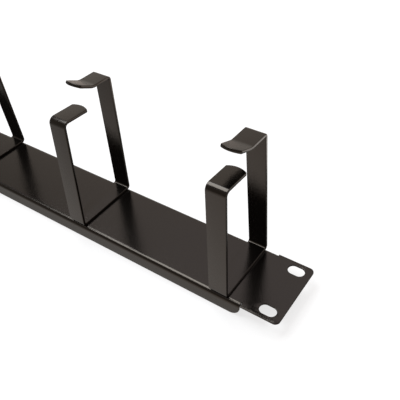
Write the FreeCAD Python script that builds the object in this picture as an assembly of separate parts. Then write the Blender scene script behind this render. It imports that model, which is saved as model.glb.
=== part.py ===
import FreeCAD, Part
import math
import os

# Rack cable management panel for a 19 inch rack, one unit high.
# One folded sheet carries five cable rings. Each ring is one flat strip, bent
# round into an open loop and spot-welded to the front of the sheet.
#
# X runs along the panel, Y across it and Z out of its front. The origin is the
# middle of the pattern of rack slots, on the rear face of the ears, which is
# the face that meets the rack's rails. All sizes are in millimetres, angles
# are in degrees, and every bend radius is the one inside the bend.

# Rack slots, at the spacing of the rack's own holes
SLOT_SPACING_X = 465.1
SLOT_SPACING_Y = 31.75
SLOT_LENGTH = 9.8
SLOT_WIDTH = 6.4

# Folded panel, whose margins are measured from the middles of the slots. At each
# fold's end a slit parts it from the ear, and the slit's broken edges stay
# RELIEF_CLEARANCE off the fold.
END_MARGIN = 8.75
SIDE_MARGIN = 5.925
SHEET = 1.2
EAR_LENGTH = 22.8
EAR_CORNER = 3.0
FOLD_RADIUS = 1.2
FLANGE_DEPTH = 9.4
FLANGE_CORNER = 6.4
RELIEF_WIDTH = 0.3
RELIEF_CLEARANCE = 0.25

# Cable rings: the strip, how far the end rings stand from the flanges' ends, how
# far it is over the feet of a ring's legs, and how far all rings stand off to +Y
STRIP_WIDTH = 11.5
STRIP = 1.8
END_RING_INSET = 13.5
RING_SPAN = 43.9
RING_SIDE_SHIFT = 0.5
FOOT_RADIUS = 1.0

# Front leg, whose lip ends lower than it starts
FRONT_HEIGHT = 73.4
FRONT_TOP_RADIUS = 1.9
FRONT_LIP = 16.4
FRONT_LIP_DROP = 3.3

# Back leg, whose lip passes over the front one and turns up towards its tip
ENTRY_GAP = 8.3
BACK_TOP_RADIUS = 1.0
BACK_LIP_RISE = 1.6
UPTURN_RADIUS = 8.6
UPTURN_LENGTH = 9.6

# How far the middle of each rounded tip stands past its corners
TIP_CROWN = 1.9

# The rings are bent and welded by hand. For each one, from -X to +X: how far it
# stands off its even place along X, how far its front and its back leg lean in,
# how much higher than BACK_HEIGHT its back leg reaches, how far its back lip runs
# before it turns up, and by what angle.
RINGS = (
    (0.0, 1.3, 2.4, 0.0, 10.5, 19.8),
    (0.0, 1.3, 2.4, 0.0, 10.5, 19.8),
    (0.0, 1.3, 3.6, 0.0, 10.5, 19.8),
    (-0.8, 2.7, 0.3, -0.3, 9.2, 24.6),
    (-0.1, 1.0, 3.7, 0.5, 10.5, 19.8),
)

# Marks of the welding electrodes on the rear of the panel, two for each ring
WELD_MARK = 5.0
WELD_MARK_DEPTH = 0.2
WELD_SIDE_INSET = 9.8

# Every outer edge is broken before the parts are coated
EDGE_BREAK = 0.3

PANEL_LENGTH = SLOT_SPACING_X + 2 * END_MARGIN
PANEL_HEIGHT = SLOT_SPACING_Y + 2 * SIDE_MARGIN
FLANGE_RUN = PANEL_LENGTH - 2 * EAR_LENGTH
BACK_HEIGHT = FRONT_HEIGHT + ENTRY_GAP + STRIP
RELIEF_DEPTH = SHEET + FOLD_RADIUS + RELIEF_CLEARANCE + EDGE_BREAK

# A cutter reaches this far past the metal that it cuts
OVERCUT = SHEET

# Faces that meet at less than this angle run on smoothly into each other
SMOOTH_ANGLE = 5.0
INSIDE_TOLERANCE = 1e-6

Vector = FreeCAD.Vector


def direction(heading):
    """Unit vector in the YZ plane; 0 is +Y and 90 is +Z."""
    angle = math.radians(heading)
    return Vector(0, math.cos(angle), math.sin(angle))


def line(start, end):
    return Part.LineSegment(start, end).toShape()


def arc(start, middle, end):
    return Part.Arc(start, middle, end).toShape()


def face_inside(edges):
    return Part.Face(Part.Wire(Part.__sortEdges__(edges)))


def crown_radius(chord, rise):
    """Radius of the arc that rises by RISE in the middle of a chord."""
    return (chord ** 2 / 4 + rise ** 2) / (2 * rise)


class BentStrip:
    """A strip seen on edge in the YZ plane, laid out run by run and bend by bend.

    PLACE and HEADING say where the middle of its thickness has got to.
    """

    def __init__(self, heading, thickness):
        self.place = Vector(0, 0, 0)
        self.heading = heading
        self.half = thickness / 2
        self.edges = [self.across()]

    def to_left(self):
        return direction(self.heading + 90) * self.half

    def across(self):
        """Edge across the strip's thickness, at its end so far."""
        return line(self.place + self.to_left(), self.place - self.to_left())

    def straight(self, length):
        run = direction(self.heading) * length
        for side in (self.to_left(), -self.to_left()):
            self.edges.append(line(self.place + side, self.place + side + run))
        self.place = self.place + run

    def bend(self, inside_radius, turn):
        """Turn by an angle, to the left where it is positive."""
        radius = inside_radius + self.half
        side = math.copysign(1, turn)
        centre = self.place + direction(self.heading + 90 * side) * radius
        spokes = [direction(self.heading - 90 * side + turn * share) for share in (0, 0.5, 1)]
        for reach in (inside_radius, radius + self.half):
            self.edges.append(arc(*[centre + spoke * reach for spoke in spokes]))
        self.place = centre + spokes[-1] * radius
        self.heading = self.heading + turn

    def solid(self, width):
        """The strip with its width along X, centred on x = 0."""
        face = face_inside(self.edges + [self.across()])
        face.translate(Vector(-width / 2, 0, 0))
        return face.extrude(Vector(width, 0, 0))


def leg_length(height, lean, top_radius):
    """Straight run of a leg whose top bend reaches HEIGHT above the panel's front."""
    foot = FOOT_RADIUS + STRIP / 2
    top = top_radius + STRIP / 2
    angle = math.radians(90 + lean)
    rise = height - STRIP - foot * (1 - math.cos(angle)) - top * (1 + math.cos(angle))
    return rise / math.sin(angle)


def tip_waste(place, heading):
    """What is cut off a lip's square end, at PLACE, to round it."""
    radius = crown_radius(STRIP_WIDTH, TIP_CROWN)
    half = STRIP_WIDTH / 2 + OVERCUT
    reach = STRIP / 2 + OVERCUT
    block = Part.makeBox(2 * half, TIP_CROWN + OVERCUT, 2 * reach, Vector(-half, -TIP_CROWN, -reach))
    waste = block.cut(Part.makeCylinder(radius, 2 * reach, Vector(0, -radius, -reach)))
    waste.rotate(Vector(0, 0, 0), Vector(1, 0, 0), heading)
    waste.translate(place)
    return waste


def cable_ring(front_lean, back_lean, extra_height, back_lip, upturn):
    """One ring, bent from its front tip to its back tip, with its base lying on z = 0."""
    base = RING_SPAN - 2 * (STRIP + FOOT_RADIUS)
    strip = BentStrip(180 - FRONT_LIP_DROP, STRIP)
    front_tip = tip_waste(strip.place, strip.heading + 180)
    strip.straight(FRONT_LIP)
    strip.bend(FRONT_TOP_RADIUS, 90 - front_lean + FRONT_LIP_DROP)
    strip.straight(leg_length(FRONT_HEIGHT, front_lean, FRONT_TOP_RADIUS))
    strip.bend(FOOT_RADIUS, 90 + front_lean)
    base_start = strip.place
    strip.straight(base)
    strip.bend(FOOT_RADIUS, 90 + back_lean)
    strip.straight(leg_length(BACK_HEIGHT + extra_height, back_lean, BACK_TOP_RADIUS))
    strip.bend(BACK_TOP_RADIUS, 90 - back_lean - BACK_LIP_RISE)
    strip.straight(back_lip)
    strip.bend(UPTURN_RADIUS, -upturn)
    strip.straight(UPTURN_LENGTH)
    back_tip = tip_waste(strip.place, strip.heading)
    ring = strip.solid(STRIP_WIDTH).cut([front_tip, back_tip])
    ring.translate(Vector(0, RING_SIDE_SHIFT - base / 2, STRIP / 2) - base_start)
    return ring


def rounded_face(corners):
    """Flat face with square corners, each given as its place and its radius."""
    edges = []
    ends = []
    for index, (corner, radius) in enumerate(corners):
        to_last = (corners[index - 1][0] - corner).normalize()
        to_next = (corners[(index + 1) % len(corners)][0] - corner).normalize()
        start = corner + to_last * radius
        end = corner + to_next * radius
        if radius:
            middle = corner + (to_last + to_next) * (radius - radius * math.sqrt(0.5))
            edges.append(arc(start, middle, end))
        ends.append((start, end))
    for (_, leaves), (arrives, _) in zip(ends, ends[1:] + ends[:1]):
        edges.append(line(leaves, arrives))
    return face_inside(edges)


def folded_channel():
    """The web between the ears, with a flange folded back along each long edge."""
    flange = FLANGE_DEPTH - SHEET - FOLD_RADIUS
    web = PANEL_HEIGHT - 2 * (SHEET + FOLD_RADIUS)
    strip = BentStrip(90, SHEET)
    strip.straight(flange)
    strip.bend(FOLD_RADIUS, -90)
    web_start = strip.place
    strip.straight(web)
    strip.bend(FOLD_RADIUS, -90)
    strip.straight(flange)
    channel = strip.solid(FLANGE_RUN)
    channel.translate(Vector(0, -web / 2, SHEET / 2) - web_start)
    return channel.common(flange_outline(min(FLANGE_CORNER, flange)))


def flange_outline(corner):
    """Side view of the channel with the flanges' free corners rounded, as a prism along Y."""
    end = FLANGE_RUN / 2
    side = PANEL_HEIGHT / 2 + OVERCUT
    rear = SHEET - FLANGE_DEPTH
    face = rounded_face([
        (Vector(-end, -side, SHEET), 0),
        (Vector(end, -side, SHEET), 0),
        (Vector(end, -side, rear), corner),
        (Vector(-end, -side, rear), corner),
    ])
    return face.extrude(Vector(0, 2 * side, 0))


def through_sheet(outline):
    """Cutter that takes an outline drawn on z = 0 right through the panel's sheet."""
    cutter = outline.extrude(Vector(0, 0, SHEET + 2 * OVERCUT))
    cutter.translate(Vector(0, 0, -OVERCUT))
    return cutter


def slot_outline(x, y):
    """One rack slot, long along X, with round ends."""
    radius = SLOT_WIDTH / 2
    reach = (SLOT_LENGTH - SLOT_WIDTH) / 2
    edges = []
    for side in (-1, 1):
        flank = y + side * radius
        end = x + side * reach
        edges.append(line(Vector(x - reach, flank, 0), Vector(x + reach, flank, 0)))
        edges.append(arc(Vector(end, y - radius, 0), Vector(end + side * radius, y, 0),
                         Vector(end, y + radius, 0)))
    return face_inside(edges)


def relief_outline(side):
    """The slit that parts one fold from the ear, on the panel's long edge at +Y or -Y."""
    start = FLANGE_RUN / 2
    root = side * (PANEL_HEIGHT / 2 - RELIEF_DEPTH)
    edge = side * (PANEL_HEIGHT / 2 + OVERCUT)
    corners = [(start, root), (start + RELIEF_WIDTH, root), (start + RELIEF_WIDTH, edge), (start, edge)]
    return rounded_face([(Vector(x, y, 0), 0) for x, y in corners])


def ear():
    """The flat end that meets the rack's rail, at +X, with its two slots."""
    start = FLANGE_RUN / 2
    end = PANEL_LENGTH / 2
    side = PANEL_HEIGHT / 2
    plate = rounded_face([
        (Vector(start, -side, 0), 0),
        (Vector(end, -side, 0), EAR_CORNER),
        (Vector(end, side, 0), EAR_CORNER),
        (Vector(start, side, 0), 0),
    ]).extrude(Vector(0, 0, SHEET))
    slots = [slot_outline(SLOT_SPACING_X / 2, side * SLOT_SPACING_Y / 2) for side in (-1, 1)]
    reliefs = [relief_outline(side) for side in (-1, 1)]
    return plate.cut([through_sheet(outline) for outline in slots + reliefs])


def weld_mark(x, y):
    """Cutter for the shallow round dent of one weld, in the rear face."""
    radius = crown_radius(WELD_MARK, WELD_MARK_DEPTH)
    depth_of_centre = radius - WELD_MARK_DEPTH
    latitude = math.degrees(math.asin(depth_of_centre / radius))
    return Part.makeSphere(radius, Vector(x, y, -depth_of_centre), Vector(0, 0, 1), latitude, 90, 360)


def break_edges(solid):
    """Chamfer each edge where two faces meet at an outer corner."""
    corners = []
    for edge in solid.Edges:
        spot = edge.valueAt((edge.FirstParameter + edge.LastParameter) / 2)
        faces = solid.ancestorsOfType(edge, Part.Face)
        normals = [face.normalAt(*face.Surface.parameter(spot)) for face in faces]
        if len(normals) == 2 and math.degrees(normals[0].getAngle(normals[1])) > SMOOTH_ANGLE:
            beside = spot + (normals[0] - normals[1]) * EDGE_BREAK / 10
            if not solid.isInside(beside, INSIDE_TOLERANCE, True):
                corners.append(edge)
    return solid.makeChamfer(EDGE_BREAK, corners)


def folded_panel(ring_places):
    """The sheet with both ears, and the weld marks behind each ring."""
    right_ear = ear()
    left_ear = right_ear.mirror(Vector(0, 0, 0), Vector(1, 0, 0))
    sheet = folded_channel().fuse([right_ear, left_ear]).removeSplitter()
    weld_rows = [side * (PANEL_HEIGHT / 2 - WELD_SIDE_INSET) for side in (-1, 1)]
    return break_edges(sheet).cut([weld_mark(x, y) for x in ring_places for y in weld_rows])


def ring_middles():
    """Where the rings stand along X, spread between the flanges' ends."""
    last = FLANGE_RUN / 2 - END_RING_INSET
    pitch = 2 * last / (len(RINGS) - 1)
    return [index * pitch - last + ring[0] for index, ring in enumerate(RINGS)]


def write(name, shape):
    """Keep one piece as its own file, and say what it is."""
    print(name, "solids", len(shape.Solids), "valid", shape.isValid(), "volume", round(shape.Volume, 1))
    shape.exportStep(os.path.join("parts", name + ".step"))


os.makedirs("parts", exist_ok=True)
write("panel", folded_panel(ring_middles()))
for number, (x, (_, *bends)) in enumerate(zip(ring_middles(), RINGS), start=1):
    ring = break_edges(cable_ring(*bends))
    ring.translate(Vector(x, 0, SHEET))
    write(f"cable_ring_{number}", ring)
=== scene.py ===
"""A folded steel rack panel with five open cable rings, in satin black powder coat.

The panel lies on its back on a pale floor, seen from above its right end. Sizes are in metres.
"""

import math

import bpy
from mathutils import Euler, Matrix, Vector


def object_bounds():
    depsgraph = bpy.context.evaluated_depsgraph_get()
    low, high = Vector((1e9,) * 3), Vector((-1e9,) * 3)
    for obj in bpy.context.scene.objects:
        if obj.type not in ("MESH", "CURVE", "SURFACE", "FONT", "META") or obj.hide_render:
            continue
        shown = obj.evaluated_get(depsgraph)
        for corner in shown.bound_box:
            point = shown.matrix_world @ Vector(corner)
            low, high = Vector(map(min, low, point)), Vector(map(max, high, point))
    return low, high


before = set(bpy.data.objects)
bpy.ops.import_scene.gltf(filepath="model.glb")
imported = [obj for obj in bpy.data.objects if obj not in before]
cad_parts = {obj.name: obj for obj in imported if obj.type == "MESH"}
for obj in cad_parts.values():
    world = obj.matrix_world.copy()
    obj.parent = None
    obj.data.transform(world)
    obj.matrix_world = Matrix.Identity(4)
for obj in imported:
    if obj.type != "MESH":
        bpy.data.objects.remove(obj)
cad_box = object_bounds()

WHITE = (1.0, 1.0, 1.0, 1.0)

# The camera of the photograph. Its turn is in degrees, its lens and sensor in millimetres.
CAMERA_PLACE = (0.312757, -0.175296, 0.236061)
CAMERA_TURN = (48.3592, 2.6765, 34.5275)
CAMERA_LENS = 49.906
CAMERA_SENSOR = 36.0
CAMERA_NEAREST = 0.01
CAMERA_FARTHEST = 50.0

# Black powder coat: a warm near-black with a fine orange peel, a finer grain, and wide patches
# of slightly less gloss. The tint warms what it reflects.
COAT_DARK = (0.0011, 0.0009, 0.0008, 1.0)
COAT_LIGHT = (0.0021, 0.0017, 0.0015, 1.0)
COAT_TINT = (1.0, 0.80, 0.67, 1.0)
COAT_SPECULAR = 0.46
COAT_ROUGHNESS = 0.115
PEEL_SIZE = 0.0011
PEEL_DEPTH = 0.000012
GRAIN_SIZE = 0.00022
GRAIN_DEPTH = 0.00002
GRAIN_ROUGHNESS = 0.03
PATCH_SIZE = 0.03
PATCH_DETAIL = 3.0
PATCH_ROUGHNESS = 0.03

# Joins the loose corners of the panel's and rings' faces, so that their bends shade softly and
# their large flat faces stay flat
MERGE_DISTANCE = 1e-6
FLAT_FACE_WEIGHT = 100

# The floor is pale paper. The camera sees it as a white ground, partly glowing, so that the
# shadows on it stay light. The glow alone makes it white far from the panel.
FLOOR_SIZE = 12.0
FLOOR_COLOUR = (0.80, 0.80, 0.80, 1.0)
GROUND_COLOUR = (0.315, 0.29, 0.28, 1.0)
GROUND_FADE = (0.6, 2.0)
GROUND_GLOW = (0.735, 1.0)

# Glossy surfaces see light painted on the floor as a glow that only they see: a pool in front of
# the panel, brightest to the right, and a sweep behind it, which turns dimmer and warmer farther
# back. Between them, under the panel and close behind it, a painted shadow of the panel dims that
# glow.
POOL_COLOUR = (1.0, 0.975, 0.935, 1.0)
POOL_ACROSS = (-0.20, 0.22)
POOL_LIGHT = (0.40, 1.02)
# Where the pool drops into the painted shadow of the panel, from its front edge back, and how dark
# that painted shadow is
PAINTED_SHADOW_SPAN = (-0.035, -0.01)
PAINTED_SHADOW_LEVELS = (1.0, 0.30)
SWEEP_START = (0.085, 0.115)
SWEEP_TURN = (0.15, 0.28)
SWEEP_NEAR = (1.35, 1.29, 1.23, 1.0)
SWEEP_FAR = (0.49, 0.412, 0.36, 1.0)

# The room: dim in front, less so behind, and brightest on a wide lit screen behind and above.
# It is warm low down and cool high up.
ROOM_TURN = (-0.5, 0.2)
ROOM_LIGHT = (0.38, 0.47)
SCREEN_BEHIND = (0.29, 0.55)
SCREEN_ABOVE = (-0.18, 0.32)
SCREEN_LIGHT = 0.50
ROOM_TONES = (0.56, 0.82)
ROOM_LOW = (0.84, 0.79, 0.72, 1.0)
ROOM_HIGH = (1.20, 1.24, 1.35, 1.0)

# The large soft box, above and to the left
BOX_DIRECTION = (-0.355, 0.02, 0.93)
BOX_DISTANCE = 1.6
BOX_WIDTH = 1.24
BOX_HEIGHT = 0.80
BOX_RADIANCE = 8.0
BOX_COLOUR = (0.82, 0.94, 1.0)

# The sockets that a Mix node has for colours
MIX_FACTOR, MIX_FIRST, MIX_SECOND, MIX_RESULT = 0, 6, 7, 2


class Maths:
    """A socket of a finish's nodes, on which sums can be written as in Python."""

    def __init__(self, finish, socket):
        self.finish = finish
        self.socket = socket

    def _sum(self, operation, first, second):
        return self.finish.node("ShaderNodeMath", {"operation": operation}, {0: first, 1: second})

    def __add__(self, other):
        return self._sum("ADD", self, other)

    def __mul__(self, other):
        return self._sum("MULTIPLY", self, other)

    __radd__ = __add__
    __rmul__ = __mul__


class Finish:
    """The nodes of a material or of the room, added one by one."""

    def __init__(self, owner):
        owner.use_nodes = True
        self.nodes = owner.node_tree.nodes
        self.links = owner.node_tree.links
        self.nodes.clear()

    def node(self, kind, settings=None, inputs=None, output=0):
        """Adds a node, and returns one of its outputs if it has any."""
        node = self.nodes.new(kind)
        for name, value in (settings or {}).items():
            setattr(node, name, value)
        for name, value in (inputs or {}).items():
            if isinstance(value, Maths):
                self.links.new(value.socket, node.inputs[name])
            else:
                node.inputs[name].default_value = value
        return Maths(self, node.outputs[output]) if node.outputs else None

    def noise(self, place, size, detail=2.0):
        """Noise from 0 to 1 whose bumps are about SIZE metres across."""
        return self.node("ShaderNodeTexNoise", None, {
            "Vector": place, "Scale": 1 / size, "Detail": detail,
        })

    def bump(self, height, depth, normal=None):
        """Bumps up to DEPTH metres high, on top of those that a normal has already."""
        inputs = {"Height": height, "Strength": 1.0, "Distance": depth}
        if normal:
            inputs["Normal"] = normal
        return self.node("ShaderNodeBump", None, inputs)

    def axis(self, place, name):
        """One axis of a place or direction."""
        return self.node("ShaderNodeSeparateXYZ", None, {"Vector": place}, output=name)

    def ramp(self, value, span, levels=(0.0, 1.0)):
        """A soft step between two levels, as VALUE crosses a span."""
        return self.node("ShaderNodeMapRange", {"interpolation_type": "SMOOTHSTEP"}, {
            "Value": value,
            "From Min": span[0], "From Max": span[1],
            "To Min": levels[0], "To Max": levels[1],
        })

    def blend(self, factor, first, second):
        """A colour between two colours."""
        return self.node("ShaderNodeMix", {"data_type": "RGBA"}, {
            MIX_FACTOR: factor, MIX_FIRST: first, MIX_SECOND: second,
        }, output=MIX_RESULT)

    def glow(self, colour, strength):
        """A surface that gives off light."""
        return self.node("ShaderNodeEmission", None, {"Color": colour, "Strength": strength})

    def both(self, first, second):
        """Two surfaces' light together."""
        return self.node("ShaderNodeAddShader", None, {0: first, 1: second})

    def seen_by(self, ray, others, these):
        """One surface to all other rays, and another to rays of this kind."""
        kind = self.node("ShaderNodeLightPath", output=ray)
        return self.node("ShaderNodeMixShader", None, {0: kind, 1: others, 2: these})


def powder_coat():
    """Satin black powder coat on steel."""
    material = bpy.data.materials.new("black_powder_coat")
    coat = Finish(material)
    place = coat.node("ShaderNodeTexCoord", output="Object")
    peel = coat.noise(place, PEEL_SIZE)
    grain = coat.noise(place, GRAIN_SIZE)
    patches = coat.noise(place, PATCH_SIZE, PATCH_DETAIL)
    shader = coat.node("ShaderNodeBsdfPrincipled", None, {
        "Base Color": coat.blend(grain, COAT_DARK, COAT_LIGHT),
        "Roughness": COAT_ROUGHNESS + PATCH_ROUGHNESS * patches + GRAIN_ROUGHNESS * grain,
        "Specular IOR Level": COAT_SPECULAR,
        "Specular Tint": COAT_TINT,
        "Normal": coat.bump(peel, PEEL_DEPTH, coat.bump(grain, GRAIN_DEPTH)),
    })
    coat.node("ShaderNodeOutputMaterial", None, {"Surface": shader})
    return material


def floor_paper():
    """Pale floor: a white ground to the camera, and painted light and painted shadow on it for
    glossy surfaces.
    """
    material = bpy.data.materials.new("floor_paper")
    paper = Finish(material)
    place = paper.node("ShaderNodeTexCoord", output="Object")
    across = paper.axis(place, "X")
    back = paper.axis(place, "Y")
    away = paper.node("ShaderNodeVectorMath", {"operation": "LENGTH"}, {0: place}, output="Value")

    plain = paper.node("ShaderNodeBsdfDiffuse", None, {"Color": FLOOR_COLOUR})
    shaded = paper.node("ShaderNodeBsdfDiffuse", None, {"Color": GROUND_COLOUR})
    ground = paper.both(shaded, paper.glow(WHITE, paper.ramp(away, GROUND_FADE, GROUND_GLOW)))

    # Painted light for glossy rays: a pool of light dimmed by a painted shadow of the panel, and a
    # painted sweep of light behind it
    pool_with_painted_shadow = paper.ramp(across, POOL_ACROSS, POOL_LIGHT) * paper.ramp(back, PAINTED_SHADOW_SPAN, PAINTED_SHADOW_LEVELS)
    pool = paper.glow(POOL_COLOUR, pool_with_painted_shadow)
    tone = paper.blend(paper.ramp(back, SWEEP_TURN), SWEEP_NEAR, SWEEP_FAR)
    sweep = paper.glow(tone, paper.ramp(back, SWEEP_START))

    surface = paper.seen_by("Is Camera Ray", plain, ground)
    surface = paper.seen_by("Is Glossy Ray", surface, paper.both(pool, sweep))
    paper.node("ShaderNodeOutputMaterial", None, {"Surface": surface})
    return material


def coat_piece(piece, coat):
    """Gives a piece its coat, and the soft shading that its bends have."""
    piece.data.materials.clear()
    piece.data.materials.append(coat)
    for polygon in piece.data.polygons:
        polygon.use_smooth = True
        polygon.material_index = 0
    weld = piece.modifiers.new("weld", "WELD")
    weld.merge_threshold = MERGE_DISTANCE
    shading = piece.modifiers.new("shading", "WEIGHTED_NORMAL")
    shading.mode = "FACE_AREA"
    shading.weight = FLAT_FACE_WEIGHT
    shading.keep_sharp = False


def lay_floor():
    """Lays the pale floor under the panel."""
    bpy.ops.object.select_all(action="DESELECT")
    bpy.ops.mesh.primitive_plane_add(size=FLOOR_SIZE, location=(0, 0, cad_box[0].z))
    floor = bpy.context.object
    floor.name = "floor"
    bpy.ops.object.transform_apply(location=True, rotation=True, scale=True)
    floor.data.materials.append(floor_paper())


def room_light():
    """Walls, and a wide lit screen behind and above. To the camera it is all plain white."""
    world = bpy.data.worlds.new("studio_room")
    bpy.context.scene.world = world
    room = Finish(world)
    direction = room.node("ShaderNodeTexCoord", output="Generated")
    behind = room.axis(direction, "Y")
    above = room.axis(direction, "Z")
    walls = room.ramp(behind, ROOM_TURN, ROOM_LIGHT)
    screen = room.ramp(behind, SCREEN_BEHIND, (0.0, SCREEN_LIGHT)) * room.ramp(above, SCREEN_ABOVE)
    tone = room.blend(room.ramp(above, ROOM_TONES), ROOM_LOW, ROOM_HIGH)
    around = room.node("ShaderNodeBackground", None, {"Color": tone, "Strength": walls + screen})
    white = room.node("ShaderNodeBackground", None, {"Color": WHITE, "Strength": 1.0})
    surface = room.seen_by("Is Camera Ray", around, white)
    room.node("ShaderNodeOutputWorld", None, {"Surface": surface})


def soft_box():
    """Hangs the one large lamp, a soft box turned towards the middle of the panel."""
    name = "overhead_soft_box"
    lamp = bpy.data.lights.new(name, "AREA")
    lamp.shape = "RECTANGLE"
    lamp.size = BOX_WIDTH
    lamp.size_y = BOX_HEIGHT
    lamp.energy = BOX_RADIANCE * BOX_WIDTH * BOX_HEIGHT * math.pi
    lamp.color = BOX_COLOUR
    place = Vector(BOX_DIRECTION).normalized() * BOX_DISTANCE
    holder = bpy.data.objects.new(name, lamp)
    holder.location = place
    holder.rotation_euler = (-place).to_track_quat("-Z", "Y").to_euler()
    bpy.context.scene.collection.objects.link(holder)


def camera():
    """Sets up the photograph's viewpoint."""
    turn = Euler([math.radians(angle) for angle in CAMERA_TURN], "XYZ")
    bpy.ops.object.camera_add(location=CAMERA_PLACE, rotation=turn)
    eye = bpy.context.object
    eye.name = "photo_camera"
    eye.data.sensor_width = CAMERA_SENSOR
    eye.data.lens = CAMERA_LENS
    eye.data.clip_start = CAMERA_NEAREST
    eye.data.clip_end = CAMERA_FARTHEST
    bpy.context.scene.camera = eye


coat = powder_coat()
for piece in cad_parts.values():
    coat_piece(piece, coat)

lay_floor()
room_light()
soft_box()
camera()

bpy.context.scene.view_settings.view_transform = "Standard"
